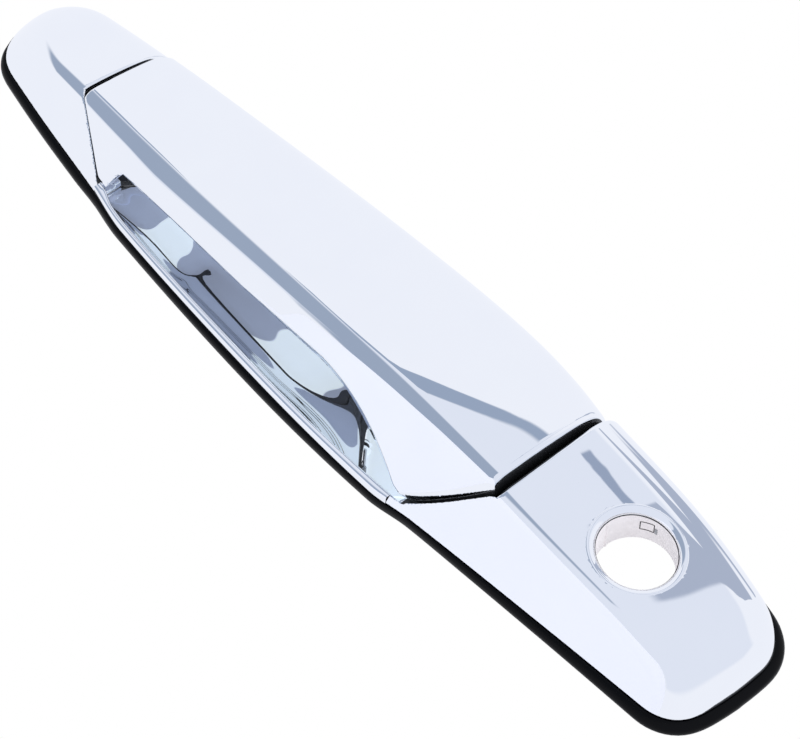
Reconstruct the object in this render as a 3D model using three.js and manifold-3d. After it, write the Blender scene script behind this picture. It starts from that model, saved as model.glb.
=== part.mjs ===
// Car door handle: a chrome bezel with a finger cup and an empty lock hole, and a pull paddle hinged
// along its top. It is modelled lying on its back: x along the length, y towards the hinge edge, and z
// outwards from the door skin (z = 0). The last group turns it to its place on a car: X along the
// length, -Y outwards, +Z up. Units are millimetres.

import * as THREE from 'three';
import { mergeVertices } from 'three/addons/utils/BufferGeometryUtils.js';
import Module from 'manifold-3d';

const wasm = await Module();
wasm.setup();

// ---- Driving dimensions ----

const HALF_LENGTH = 149.7;          // the chrome from its middle to either tip
const SEAL_HEIGHT = 2.9;            // perimeter seal, from the door skin outwards
const SEAL_IN = 3.6;                // how far the seal reaches in under the flange
const FLANGE = 3.2;                 // underside of the bezel
const FLOOR = 5.6;                  // top of the bezel's plate, behind the paddle
const WALL = 2.4;                   // moulded wall of the bezel and the paddle
const GAP = 0.3;                    // between pieces that only touch

const DRAFT = 0.21;                 // lean of the top and end walls, radians
const CREASE_Y = -18;               // the long crease, shared by the paddle and the lock housing
const HINGE = { y: 15.5, z: 10 };   // the paddle's pivot line
const HINGE_EARS = [-26, 50];       // x of the chassis's two hinge ears
const LEVER = { y: 8, z: -28 };     // the release lever's pivot line
const PIN_R = 1.9;
const EAR_R = 3.6;
const PIN_HOLE_R = PIN_R + GAP;

const LOCK = { x: 111, y: 0, r: 10.5, wall: 2.2, depth: 10.4 };   // depth: the sleeve's lower end
const LOCK_RIM = { drop: 0.8, below: 2.3, above: 2.2, flare: 1.9, low: 3.6 }; // the rolled rim, as a cone
const LOCK_SLOT = { x0: -8.6, x1: -2.4, y0: 6, y1: 14, low: 7.8, high: 5 }; // for the lock's clip
const STUDS = [
  { name: 'left', x: -119, y: -8 },
  { name: 'right', x: 91, y: -9 },
];
const STUD_R = 3;
const BOSS_R = 7;
const NUT_FACE = -1.3;              // the nuts clamp 1 mm of door skin

const TOP_WALL_EDGE = 11.2;         // lower edge of the paddle's wall beside the hinge
const ARM_X = [64.5, 69.5];         // the paddle's pull arm, right of the cup
const ARM_TIP_Z = -15;
const TAB_R = 18;                   // reach of the release lever's tab
const LEG_END = FLOOR + 0.6;        // the paddle's two legs stop just above the plate
const LEG_LINE = -24.1;             // y of the finger opening's straight edge
const LEG_TIP = -29.5;              // y of the same edge where the legs end
const BACK_SLOPE = 0.05;            // fall of the backing towards the hinge
const STOP_POST = { x: 60, y: -12, r: 4, top: 15 };  // stands under the right bump stop
const LEDGE_LEAN = 0.35;            // how far the ledge's outer wall leans in from the flange up
const LEDGE_ENDS = [-82.4, 51.9];

// Curves along the length: [x, value] pairs joined by one smooth line.
const baseLow = along([-150, -22.4], [-115, -27.4], [-84, -31.1], [-66, -33.7], [0, -35.2], [46, -33.6],
  [60, -31], [108, -24.7], [150, -19.6]);
const baseHigh = along([-150, 8], [-137, 11], [-108, 15.4], [-60, 21.2], [-10, 25.4], [38, 27.3],
  [80, 26.7], [110, 25.6], [135, 21.8], [150, 17.5]);
const baseCreaseY = along([-150, -15], [-130, -17.6], [78, -18.2], [136, -15.9], [150, -14.6]);
const baseCreaseZ = along([-150, 12.2], [-136, 14.1], [-104, 17.2], [-90, 18], [70, 27.6], [78, 27],
  [136, 19.4], [150, 17.6]);
const paddleHigh = along([-112, 12.8], [-84, 16.9], [-34, 22.1], [14, 25.5], [45, 26.3], [63, 25.2],
  [80, 22.4]);
const paddleCreaseZ = along([-112, 17.8], [-80, 18.9], [-50, 20.9], [0, 26.1], [40, 29.8], [84, 30.6]);
const cupLow = along([-80, -28.7], [-73, -31], [-55, -32.3], [0, -33], [30, -32.3], [58, -30]);
// How far the seal stands out past the chrome, along the lower edge and along the hinge edge.
const sealLow = along([-150, 2.4], [-92, 2.3], [-76, 1.2], [0, 1.3], [46, 0.9], [58, 0.7], [80, 1.2],
  [110, 1.8], [140, 2.5]);
const sealHigh = along([-150, 2.2], [-130, 1], [110, 1], [145, 2.4]);
const cupHigh = along([-80, -25], [-66, -8], [-40, 3], [0, 6], [30, 2], [48, -12], [58, -28]);

// ---- Small tools ----

function along(...points) {
  const slope = points.map((p, i) => {
    const a = points[Math.max(i - 1, 0)];
    const b = points[Math.min(i + 1, points.length - 1)];
    return (b[1] - a[1]) / (b[0] - a[0]);
  });
  return (x) => {
    let i = 0;
    while (i < points.length - 2 && x > points[i + 1][0]) i++;
    const [x0, v0] = points[i];
    const [x1, v1] = points[i + 1];
    const w = x1 - x0;
    const t = Math.min(Math.max((x - x0) / w, 0), 1);
    return v0 * (1 + 2 * t) * (1 - t) ** 2 + v1 * t * t * (3 - 2 * t)
      + w * (slope[i] * t * (1 - t) ** 2 - slope[i + 1] * t * t * (1 - t));
  };
}

// The larger of two numbers, with the corner between them rounded over a width k.
function smoothMax(a, b, k) {
  const h = Math.max(k - Math.abs(a - b), 0);
  return Math.max(a, b) + (h * h) / (4 * k);
}

function solid(geometry) {
  const bare = geometry.clone();
  bare.deleteAttribute('normal');
  bare.deleteAttribute('uv');
  const merged = mergeVertices(bare, 1e-4);
  return new wasm.Manifold(new wasm.Mesh({
    numProp: 3,
    vertProperties: new Float32Array(merged.attributes.position.array),
    triVerts: new Uint32Array(merged.index.array),
  }));
}

function geometryOf(manifold) {
  const mesh = manifold.getMesh();
  const geometry = new THREE.BufferGeometry();
  geometry.setAttribute('position', new THREE.BufferAttribute(new Float32Array(mesh.vertProperties), 3));
  geometry.setIndex(new THREE.BufferAttribute(new Uint32Array(mesh.triVerts), 1));
  return withoutSlivers(geometry);
}

// Welds points closer than WELD and drops the triangles that collapse.
const WELD = 0.006;
function withoutSlivers(geometry) {
  const welded = mergeVertices(geometry, WELD);
  const kept = [];
  for (let i = 0; i < welded.index.count; i += 3) {
    const [a, b, c] = [0, 1, 2].map((corner) => welded.index.getX(i + corner));
    if (a !== b && b !== c && c !== a) kept.push(a, b, c);
  }
  welded.setIndex(kept);
  welded.computeVertexNormals();
  return welded;
}

const joined = (first, ...rest) => rest.reduce((sum, piece) => sum.add(piece), first);
const cutBy = (first, ...rest) => rest.reduce((left, piece) => left.subtract(piece), first);

function box(x0, x1, y0, y1, z0, z1) {
  const geometry = new THREE.BoxGeometry(x1 - x0, y1 - y0, z1 - z0);
  geometry.translate((x0 + x1) / 2, (y0 + y1) / 2, (z0 + z1) / 2);
  return solid(geometry);
}

// A round bar along z at (x, y).
function post(x, y, r, z0, z1, sides = 24, topR = r) {
  const geometry = new THREE.CylinderGeometry(topR, r, z1 - z0, sides);
  geometry.rotateX(Math.PI / 2);
  geometry.translate(x, y, (z0 + z1) / 2);
  return solid(geometry);
}

// A round bar along x at (y, z).
function rod(y, z, r, x0, x1, sides = 20) {
  const geometry = new THREE.CylinderGeometry(r, r, x1 - x0, sides);
  geometry.rotateZ(Math.PI / 2);
  geometry.translate((x0 + x1) / 2, y, z);
  return solid(geometry);
}

// A plate with the outline points, [x, y] pairs, from z0 up to z1.
function plate(points, z0, z1) {
  const shape = new THREE.Shape(points.map(([x, y]) => new THREE.Vector2(x, y)));
  const geometry = new THREE.ExtrudeGeometry(shape, { depth: z1 - z0, bevelEnabled: false });
  geometry.translate(0, 0, z0);
  return solid(geometry);
}

// A plate that stands across the length, with its outline in [y, z] pairs.
function web(points, x0, x1) {
  const shape = new THREE.Shape(points.map(([y, z]) => new THREE.Vector2(y, z)));
  const geometry = new THREE.ExtrudeGeometry(shape, { depth: x1 - x0, bevelEnabled: false });
  geometry.rotateY(Math.PI / 2);
  geometry.rotateX(Math.PI / 2);
  geometry.translate(x0, 0, 0);
  return solid(geometry);
}

// The outline moved outwards (inwards when negative), each point along its own normal. The reach is
// one number, or a function of the point.
function offset(points, reach) {
  const area = points.reduce((sum, [x, y], i) => {
    const [nx, ny] = points[(i + 1) % points.length];
    return sum + x * ny - nx * y;
  }, 0);
  const reachAt = typeof reach === 'function' ? reach : () => reach;
  return points.map((p, i) => {
    const before = new THREE.Vector2(...points[(i + points.length - 1) % points.length]);
    const here = new THREE.Vector2(...p);
    const after = new THREE.Vector2(...points[(i + 1) % points.length]);
    const a = here.clone().sub(before).normalize();
    const b = after.sub(here).normalize();
    const normal = new THREE.Vector2(a.y + b.y, -a.x - b.x).normalize();
    const stretch = Math.max(normal.x * a.y - normal.y * a.x, 0.4);
    const side = (Math.sign(area) * reachAt(p)) / stretch;
    return [here.x + normal.x * side, here.y + normal.y * side];
  });
}

function closedMesh(vertices, triangles) {
  const geometry = new THREE.BufferGeometry();
  geometry.setAttribute('position', new THREE.Float32BufferAttribute(vertices.flat(), 3));
  geometry.setIndex(triangles.flat());
  return solid(geometry);
}

// ---- The outer forms ----

const TIP_ROUND = 3.4;              // what the left tip's large round takes off its length
const SHOULDER = 9;                 // rounding between the upper face and the walls
const TIP_SHOULDER = 19;            // the same at the left tip

// How far a point stands outside the plane that falls from the crease to the lower edge.
function facetDistance(y, z, creaseY, creaseZ, lowY) {
  const rise = creaseZ - FLANGE;
  const run = creaseY - lowY;
  return ((z - creaseZ) * run - (y - creaseY) * rise) / Math.hypot(rise, run);
}

// The bezel as one bar from tip to tip, before the paddle's space is cut from it.
function bezelForm(x, y, z) {
  const creaseY = baseCreaseY(x);
  const creaseZ = baseCreaseZ(x);
  const across = y - creaseY;
  const crown = x < 0 ? 0.004 : 0.0006;
  const facet = facetDistance(y, z, creaseY, creaseZ, baseLow(x));
  const top = z - (creaseZ - 0.045 * across - crown * across * across);
  const wall = (y - baseHigh(x)) * Math.cos(DRAFT) + (z - FLANGE) * Math.sin(DRAFT);
  const rightTip = HALF_LENGTH - 0.006 * (y - 2) ** 2;
  const right = (x - rightTip) * Math.cos(DRAFT) + (z - FLANGE) * Math.sin(DRAFT);
  const left = -(x + HALF_LENGTH + TIP_ROUND) * Math.cos(DRAFT) + (z - FLANGE) * Math.sin(DRAFT);
  const creaseRound = 3 + 9 * smoothStep((Math.abs(x) - 118) / 30);
  const section = smoothMax(smoothMax(top, wall, SHOULDER), facet, creaseRound);
  return smoothMax(smoothMax(section, right, SHOULDER), left, TIP_SHOULDER);
}

function paddleForm(x, y, z) {
  const creaseZ = paddleCreaseZ(x);
  const across = y - CREASE_Y;
  const facet = facetDistance(y, z, CREASE_Y, creaseZ, baseLow(x));
  const top = z - (creaseZ - 0.02 * across - 0.003 * across * across);
  const wall = (y - paddleHigh(x)) * Math.cos(DRAFT) + (z - TOP_WALL_EDGE) * Math.sin(DRAFT);
  return smoothMax(smoothMax(top, wall, SHOULDER), facet, 3);
}

function smoothStep(t) {
  const c = Math.min(Math.max(t, 0), 1);
  return c * c * (3 - 2 * c);
}

// The point where a ray from (y0, z0) in the section at x leaves the form, inset by a wall.
function edgeOfForm(form, x, y0, z0, angle, inset) {
  let near = 0;
  let far = 70;
  for (let i = 0; i < 30; i++) {
    const mid = (near + far) / 2;
    const outside = form(x, y0 + mid * Math.cos(angle), z0 + mid * Math.sin(angle)) > -inset;
    if (outside) far = mid;
    else near = mid;
  }
  return [x, y0 + near * Math.cos(angle), z0 + near * Math.sin(angle)];
}

// A solid bar of the form over the stations, flat below at the bottom height.
function barOf(form, stations, inset, bottom, creaseZ) {
  const rings = stations.map((x) => {
    const low = edgeOfForm(form, x, -6, FLANGE, Math.PI, inset);
    const high = edgeOfForm(form, x, -6, FLANGE, 0, inset);
    const y0 = (low[1] + high[1]) / 2;
    const creaseAngle = Math.atan2(creaseZ(x) - FLANGE, CREASE_Y - y0);
    const shoulderAngle = 0.42;
    const ring = [[x, low[1], bottom]];
    for (let i = 0; i <= 3; i++) ring.push(rayAt(THREE.MathUtils.lerp(Math.PI, creaseAngle + 0.07, i / 3)));
    for (let i = 0; i <= 7; i++) ring.push(rayAt(THREE.MathUtils.lerp(creaseAngle, shoulderAngle, i / 7)));
    for (let i = 1; i <= 4; i++) ring.push(rayAt(THREE.MathUtils.lerp(shoulderAngle, 0, i / 4)));
    ring.push([x, high[1], bottom]);
    return ring;
    function rayAt(angle) {
      return edgeOfForm(form, x, y0, FLANGE, angle, inset);
    }
  });
  return loft(rings);
}

// A closed body through rings of the same even point count. Each end is capped by strips across its ring.
function loft(rings) {
  const n = rings[0].length;
  const triangles = [];
  for (let s = 0; s < rings.length - 1; s++) {
    for (let i = 0; i < n; i++) {
      const a = s * n + i;
      const b = s * n + ((i + 1) % n);
      triangles.push([a, a + n, b], [b, a + n, b + n]);
    }
  }
  const last = (rings.length - 1) * n;
  for (let i = 0; i < n / 2 - 1; i++) {
    const j = n - 1 - i;
    triangles.push([i, i + 1, j - 1], [i, j - 1, j]);
    triangles.push([last + i, last + j - 1, last + i + 1], [last + i, last + j, last + j - 1]);
  }
  return closedMesh(rings.flat(), triangles);
}

function steps(from, to, count) {
  return Array.from({ length: count + 1 }, (_, i) => THREE.MathUtils.lerp(from, to, i / count));
}

// The bezel's outline at the flange: along both sides from the two tip centres, and round the tips.
function bezelOutline(perSide, perTip) {
  const spine = HALF_LENGTH - 24;
  const mid = (x) => (baseLow(x) + baseHigh(x)) / 2;
  const points = [];
  for (const x of steps(-spine, spine, perSide)) points.push(outlinePoint(x, -Math.PI / 2));
  for (let i = 1; i < perTip; i++) points.push(outlinePoint(spine, -Math.PI / 2 + (Math.PI * i) / perTip));
  for (const x of steps(spine, -spine, perSide)) points.push(outlinePoint(x, Math.PI / 2));
  for (let i = 1; i < perTip; i++) points.push(outlinePoint(-spine, Math.PI / 2 + (Math.PI * i) / perTip));
  return points;
  function outlinePoint(x0, angle) {
    let near = 0;
    let far = 60;
    for (let i = 0; i < 30; i++) {
      const r = (near + far) / 2;
      if (bezelForm(x0 + r * Math.cos(angle), mid(x0) + r * Math.sin(angle), FLANGE) > 0) far = r;
      else near = r;
    }
    return [x0 + near * Math.cos(angle), mid(x0) + near * Math.sin(angle)];
  }
}

// ---- The paddle's outline, seen from in front ----

// Both ends lean inwards below the crease. The legs leave the finger opening between them.
const OUT = 46;                     // past the hinge edge, where an outline may end anywhere
const PADDLE_LEFT = [[-103.4, CREASE_Y], [-81.4, -29.4]];
const PADDLE_RIGHT = [[53.8, -29.7], [76.8, CREASE_Y]];
const leftLeg = new THREE.QuadraticBezierCurve(
  new THREE.Vector2(-79.6, -29.2), new THREE.Vector2(-76.2, -27.6), new THREE.Vector2(-76.6, -24.4));
const rightLeg = new THREE.CubicBezierCurve(
  new THREE.Vector2(14, -23.3), new THREE.Vector2(30, -23.7), new THREE.Vector2(40, -26.2),
  new THREE.Vector2(51.4, -29.6));
const points2 = (curve, count) => curve.getPoints(count).map((p) => [p.x, p.y]);
const PADDLE_OUTLINE = [
  [-104.2, OUT], ...PADDLE_LEFT, ...points2(leftLeg, 4), [-50, LEG_LINE], [-20, LEG_LINE],
  ...points2(rightLeg, 7), ...PADDLE_RIGHT, [74, OUT],
];
// The space in the bezel that the paddle lies in: 1.4 mm clear at the left end, 3 mm at the right.
const POCKET_OUTLINE = [
  [-105.7, OUT], [-104.9, -17.6], [-81.9, -29.8], [-82.5, -OUT], [52, -OUT], [52, -31.4],
  [55.2, -30.4], [80, -18.4], [77.2, OUT],
];

// ---- Pieces ----

const ROOF_SKIN = 0.9;              // what covers the bosses
const SCREW_HOLE = 1.75;
const CUP_SCREW_HOLE = 1.45;

const BEZEL_MIDDLE = steps(-123, 123, 26);
const BEZEL_STATIONS = [
  -150, -148, -144.5, -140, -133, ...BEZEL_MIDDLE, 133, 139, 143.5, 146.5, 148.5, 149.4,
];

function bezelOuter() {
  return barOf(bezelForm, BEZEL_STATIONS, 0, FLANGE, baseCreaseZ);
}

function makeBezel() {
  const innerStations = [-147.3, -145.5, -142, -138, -133, ...BEZEL_MIDDLE, 133, 139, 143, 146, 147.1];
  const hollow = barOf(bezelForm, innerStations, WALL, FLANGE - 6, baseCreaseZ);
  const pocket = plate(POCKET_OUTLINE, FLOOR, 60);
  const endWalls = plate(offset(POCKET_OUTLINE, WALL), -9, 60);
  let body = bezelOuter().subtract(hollow.subtract(endWalls)).subtract(pocket);

  const insideRoof = barOf(bezelForm, BEZEL_STATIONS, ROOF_SKIN, FLANGE - 6, baseCreaseZ).subtract(pocket);
  for (const { x, y } of STUDS) body = body.add(post(x, y, BOSS_R, 0, 40).intersect(insideRoof));
  body = body.subtract(post(LOCK.x, LOCK.y, LOCK.r + LOCK.wall + GAP, LOCK.depth - 1, 60, 40));

  for (const { x, y } of STUDS) body = body.subtract(post(x, y, STUD_R + GAP, -1, FLANGE + 6));
  body = body.add(post(STOP_POST.x, STOP_POST.y, STOP_POST.r, FLANGE, STOP_POST.top)).add(makeLedge());
  return cutBy(body, cupMouth(), ...HINGE_EARS.map((x) => box(x - 2.6, x + 2.6, 10.6, 20.4, 0, 9)),
    box(ARM_X[0] - 2, ARM_X[1] + 1.5, 3, 21.5, 0, 9),
    ...CHASSIS_SCREWS.map(([x, y]) => post(x, y, SCREW_HOLE, 0, 9, 12)),
    ...CUP_SCREWS.map(([x, y]) => post(x, y, CUP_SCREW_HOLE, 0, 4.7, 12)));
}

// Height of the lock hole's rim.
function lockRimZ() {
  return baseCreaseZ(LOCK.x) - LOCK_RIM.drop;
}

// The chrome ring set in the lock housing: its top follows the face, and its rim rolls into the hole.
function makeLockRing() {
  const rimZ = lockRimZ();
  const low = rimZ - LOCK_RIM.low;
  const hole = post(LOCK.x, LOCK.y, LOCK.r, low - 1, 60, 40);
  const rim = post(LOCK.x, LOCK.y, LOCK.r - 0.1, rimZ - LOCK_RIM.below, rimZ + LOCK_RIM.above, 40,
    LOCK.r + LOCK_RIM.flare);
  const ring = post(LOCK.x, LOCK.y, LOCK.r + LOCK.wall, low, 60, 40).intersect(bezelOuter());
  return ring.subtract(hole).subtract(rim);
}

// The moulded sleeve under the ring, with a window for the lock's clip.
function makeLockSleeve() {
  const rimZ = lockRimZ();
  const top = rimZ - LOCK_RIM.low - GAP;
  const sleeve = post(LOCK.x, LOCK.y, LOCK.r + LOCK.wall, LOCK.depth, top, 40)
    .subtract(post(LOCK.x, LOCK.y, LOCK.r, LOCK.depth - 1, top + 1, 40));
  return sleeve.subtract(box(LOCK.x + LOCK_SLOT.x0, LOCK.x + LOCK_SLOT.x1, LOCK_SLOT.y0, LOCK_SLOT.y1,
    rimZ - LOCK_SLOT.low, rimZ - LOCK_SLOT.high));
}

// The narrow ledge under the finger opening: a flat top with an almost upright outer wall.
function makeLedge() {
  const inner = 4;
  return loft(steps(...LEDGE_ENDS, 22).map((x) => {
    const low = baseLow(x);
    const high = low + inner;
    return [[x, low, FLANGE], [x, low + LEDGE_LEAN, FLOOR], [x, high, FLOOR], [x, high, FLANGE]];
  }));
}

// The cup's two rims at a place along it, t from 0 to 1. They nearly meet at both ends.
const CUP_ENDS = [-79.2, 54.6];
const LEAST_WIDTH = 1.2;
function cupAt(t) {
  const x = THREE.MathUtils.lerp(...CUP_ENDS, (1 - Math.cos(Math.PI * t)) / 2);
  const low = cupLow(x);
  return { x, low, high: Math.max(cupHigh(x), low + LEAST_WIDTH) };
}

// The cup's plan outline, moved outwards by grow, but by lap along the ledge.
function cupPlan(grow, lap = grow) {
  const across = steps(0, 1, CUP_STEPS).map((t) => {
    const { x, low, high } = cupAt(t);
    return { x: x - grow * Math.cos(Math.PI * t), low: low - lap, high: high + grow };
  });
  return [...across.map(({ x, low }) => [x, low]), ...across.reverse().map(({ x, high }) => [x, high])];
}

const cupMouth = () => plate(cupPlan(0.15), 0, 9);

// The scoop's surface at a place along it (t) and across it (s), each from 0 to 1.
const CUP_STEPS = 16;
const CUP_DEPTH = 19;
const CUP_RIM = 2.9;
const CUP_WALL = 2.2;
const CUP_FLANGE = 1.6;             // the flat edge round the scoop, behind the bezel's plate
const LEDGE_LAP = 0.7;              // the same edge along the narrow ledge
function cupPoint(t, s, sink) {
  const { x, low, high } = cupAt(t);
  const lengthwise = smoothStep((x - CUP_ENDS[0]) / 26) * smoothStep((CUP_ENDS[1] - x) / 62);
  const crosswise = 1 - Math.abs(2 * s - 1) ** 3.2;
  return [x, THREE.MathUtils.lerp(low, high, s), CUP_RIM - sink - CUP_DEPTH * lengthwise * crosswise];
}

function makeCup() {
  const scoop = steps(0, 1, CUP_STEPS).map((t) => {
    const { x, low, high } = cupAt(t);
    const skin = (sink) => [
      [x, low - LEDGE_LAP, CUP_RIM - sink],
      ...steps(0, 1, 9).map((s) => cupPoint(t, s, sink)),
      [x, high + CUP_FLANGE, CUP_RIM - sink],
    ];
    return [...skin(0), ...skin(CUP_WALL).reverse()];
  });
  const beyond = (ring, d) => ring.map(([x, y, z]) => [x + d, y, z]);
  const rings = [beyond(scoop[0], -CUP_FLANGE), ...scoop, beyond(scoop[CUP_STEPS], CUP_FLANGE)];
  const tabs = CUP_SCREWS.map(([x, y]) => post(x, y, 3.8, 0.8, CUP_RIM, 16).add(
    box(x - 3, x + 3, y - 14, y, 0.8, CUP_RIM)));
  const reach = joined(...tabs).subtract(plate(cupPlan(-0.3), -60, 9));
  return cutBy(loft(rings).add(reach), ...CUP_SCREWS.map(([x, y]) => post(x, y, 1.75, 0, 4, 12)));
}

function makeSeal() {
  const outline = bezelOutline(40, 12);
  const inside = plate(offset(outline, -SEAL_IN), -1, 9);
  const sealOut = ([x, y]) => (y < (baseLow(x) + baseHigh(x)) / 2 ? sealLow(x) : sealHigh(x));
  const cupSpace = plate(cupPlan(CUP_FLANGE + GAP, LEDGE_LAP + GAP), -1, 9);
  return cutBy(plate(offset(outline, sealOut), 0, SEAL_HEIGHT), inside, cupSpace);
}

// The paddle's bar, cut to its outline, inset by a wall thickness.
const PADDLE_STATIONS = [-108, -101, -94, -87, -82, -79.4, -76.8, ...steps(-73, 80, 22)];
const paddleBar = (inset) => barOf(paddleForm, PADDLE_STATIONS, inset, FLANGE - 3, paddleCreaseZ);
const backPlane = (x) => 12.8 + 0.065 * (x + 77);
const backAt = (x, y) => backPlane(x) - BACK_SLOPE * (y + 24);

// Everything below the paddle's own edges: the grip space, and the space under the top wall.
function belowPaddle() {
  const face = (x) => edgeOfForm(paddleForm, x, legEdge(x), 0, Math.PI / 2, 0)[2];
  const edge = (x) => Math.min(backPlane(x) - 0.2, face(x) - 1.4);
  const rings = PADDLE_STATIONS.map((x) => {
    const z = x > -82 && x < 60 ? Math.max(edge(x), LEG_END) : LEG_END;
    const underWall = [[x, 2, TOP_WALL_EDGE], [x, 60, TOP_WALL_EDGE], [x, 60, -20]];
    return [[x, -60, -20], [x, -60, z], [x, -8, z], ...underWall];
  });
  return loft(rings);
}
const legEdge = (x) => THREE.MathUtils.lerp(LEG_LINE, LEG_TIP,
  smoothStep((x - 18) / 36) + smoothStep((-77 - x) / 4));

function makePaddleShell() {
  const whole = paddleBar(0).intersect(plate(PADDLE_OUTLINE, -10, 60));
  const hollow = paddleBar(WALL).intersect(plate(offset(PADDLE_OUTLINE, -WALL), -10, 60));
  return whole.subtract(hollow).subtract(belowPaddle());
}

function makePaddleBacking() {
  const inside = offset(PADDLE_OUTLINE, -(WALL + 0.4));
  const fit = paddleBar(WALL + 0.4).intersect(plate(inside, -10, 60));
  const slab = loft([-98, 73].map((x) => {
    const low = backAt(x, -40);
    const high = backAt(x, 40);
    return [[x, -40, low], [x, -40, low + 2], [x, 40, high + 2], [x, 40, high]];
  }));
  const lugs = HINGE_EARS.flatMap((x) => [x - 5.4, x + 2.6]).map((x) => {
    const bar = box(x, x + 2.8, HINGE.y - 3.3, HINGE.y + 3.3, HINGE.z, backAt(x, HINGE.y) + 1.4);
    return bar.add(rod(HINGE.y, HINGE.z, 3.3, x, x + 2.8)).intersect(fit);
  });
  const armTop = backAt(66, HINGE.y) + 0.6;
  const arm = web([[11.5, armTop], [11.5, ARM_TIP_Z + 1], [12.5, ARM_TIP_Z], [16, ARM_TIP_Z],
    [18.6, 2], [18.6, 12], [16.8, armTop]], ...ARM_X);
  const body = joined(slab.intersect(fit), ...lugs, arm);
  return body.subtract(rod(HINGE.y, HINGE.z, PIN_HOLE_R, -60, 90));
}

function makeHingePin() {
  return rod(HINGE.y, HINGE.z, PIN_R, HINGE_EARS[0] - 8.2, ARM_X[1] + 3);
}

function makeClip(y, z, x) {
  const ring = rod(y, z, 3.4, x, x + 0.8).subtract(rod(y, z, PIN_R + GAP, x - 1, x + 2));
  return ring.subtract(box(x - 1, x + 2, y - 1.2, y + 1.2, z - 6, z));
}

// A torsion spring round a bar along x, with a straight leg at each end.
function makeSpring(y, z, radius, wire, x0, turns, pitch, legs) {
  const stepsPerTurn = 12;
  const count = turns * stepsPerTurn;
  const coil = Array.from({ length: count + 1 }, (_, i) => {
    const angle = legs.start + (2 * Math.PI * i) / stepsPerTurn;
    return new THREE.Vector3(x0 + (pitch * i) / stepsPerTurn, y + radius * Math.cos(angle),
      z + radius * Math.sin(angle));
  });
  const first = coil[0].clone().add(new THREE.Vector3(0, ...legs.first));
  const last = coil[count].clone().add(new THREE.Vector3(0, ...legs.last));
  const path = new THREE.CatmullRomCurve3([first, ...coil, last], false, 'centripetal');
  const circle = new THREE.Shape(Array.from({ length: 6 }, (_, i) => new THREE.Vector2(
    wire * Math.cos((Math.PI * i) / 3), wire * Math.sin((Math.PI * i) / 3))));
  return solid(new THREE.ExtrudeGeometry(circle, {
    steps: count + 8, extrudePath: path, bevelEnabled: false,
  }));
}

const CHASSIS_SCREWS = [[-36, 17], [30, 15], [76, -8]];
const CUP_SCREWS = [[-58, 6.5], [-8, 9.4], [38, 3.4]];
const PLATE_LOW = 0.2;              // the chassis plate, inside the door opening
const PLATE_HIGH = 2.9;

function makeChassis() {
  const outline = [[-42, 13.6], [20, 13.6], [24, 10.6], [61, 10.6], [61, -14], [82, -14], [82, 21], [-12, 21],
    [-22, 18.8], [-42, 18.8]];
  const base = plate(outline, PLATE_LOW, PLATE_HIGH);
  const ears = HINGE_EARS.map((x) => {
    const leg = box(x - 2, x + 2, HINGE.y - 3.2, HINGE.y + 3.2, PLATE_LOW, HINGE.z);
    return leg.add(rod(HINGE.y, HINGE.z, EAR_R, x - 2, x + 2));
  });
  const cheek = [[-4, PLATE_LOW + 1], [LEVER.y - 5, LEVER.z + 2], [LEVER.y - 3.5, LEVER.z - 5],
    [LEVER.y + 3.5, LEVER.z - 5], [LEVER.y + 5, LEVER.z + 2], [20, PLATE_LOW + 1]];
  const cheeks = [[60.5, 62.9], [74.6, 77]].map(([x0, x1]) => web(cheek, x0, x1));
  const body = joined(base, ...ears, ...cheeks);
  return cutBy(body, box(ARM_X[0] - 1.3, ARM_X[1] + 1.2, 3.4, 20.3, -3, 9),
    rod(HINGE.y, HINGE.z, PIN_HOLE_R, -60, 90), rod(LEVER.y, LEVER.z, PIN_HOLE_R, 50, 90),
    ...CHASSIS_SCREWS.map(([x, y]) => post(x, y, 1.75, -3, 9, 12)));
}

function makeReleaseLever() {
  const { y, z } = LEVER;
  const blade = web([
    [y - 3.2, z + 3], [y - 0.4, z + TAB_R - 1], [y + 0.4, z + TAB_R], [y + 2.4, z + TAB_R],
    [y + 2.9, z + TAB_R - 1], [y + 3.4, z + 4], [y + 11, z + 1.5], [y + 12, z - 5.5],
    [y + 3.5, z - 4.5], [y + 1.6, z - 20],
    [y - 1, z - 22.5], [y - 4, z - 22.5], [y - 6, z - 20], [y - 4.2, z - 3],
  ], 65, 68.5);
  const hub = rod(y, z, 3.9, 63.3, 74.2);
  return cutBy(blade.add(hub), rod(y, z, PIN_HOLE_R, 50, 90), rod(y - 2.2, z - 19, 2.2, 60, 80, 16),
    rod(y + 8.2, z - 2, 1.6, 60, 80, 12));
}

function makeCounterweight() {
  const { y, z } = LEVER;
  const block = web([[y + 5.6, z + 3.4], [y + 12.6, z + 3.4], [y + 14, z + 2], [y + 14, z - 6.4],
    [y + 5.6, z - 5]], 68.8, 73.8);
  return block.add(rod(y + 8.2, z - 2, 1.3, 64, 69.5, 12)).subtract(rod(y, z, 5.9, 60, 80));
}

function makeRodClip() {
  const y = LEVER.y - 2.2;
  const z = LEVER.z - 19;
  const head = web([[y - 4, z - 3], [y + 4, z - 3], [y + 4, z + 3], [y - 4, z + 3]], 61.2, 64.7);
  const stem = rod(y, z, 1.9, 64, 69.2, 16);
  const barb = rod(y, z, 2.6, 68.8, 69.8, 16);
  const latch = web([[y - 4, z - 5.2], [y - 2.6, z - 5.2], [y - 2.6, z], [y - 4, z]], 61.2, 64.7);
  return joined(head, stem, barb, latch).subtract(rod(y, z, 1.2, 60, 72, 10));
}

function makeStud({ x, y }) {
  const shank = post(x, y, STUD_R, -19, FLANGE + 5.6);
  return shank.add(post(x, y, STUD_R - 0.8, -20, -19 + 0.01, 24, STUD_R));
}

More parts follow.
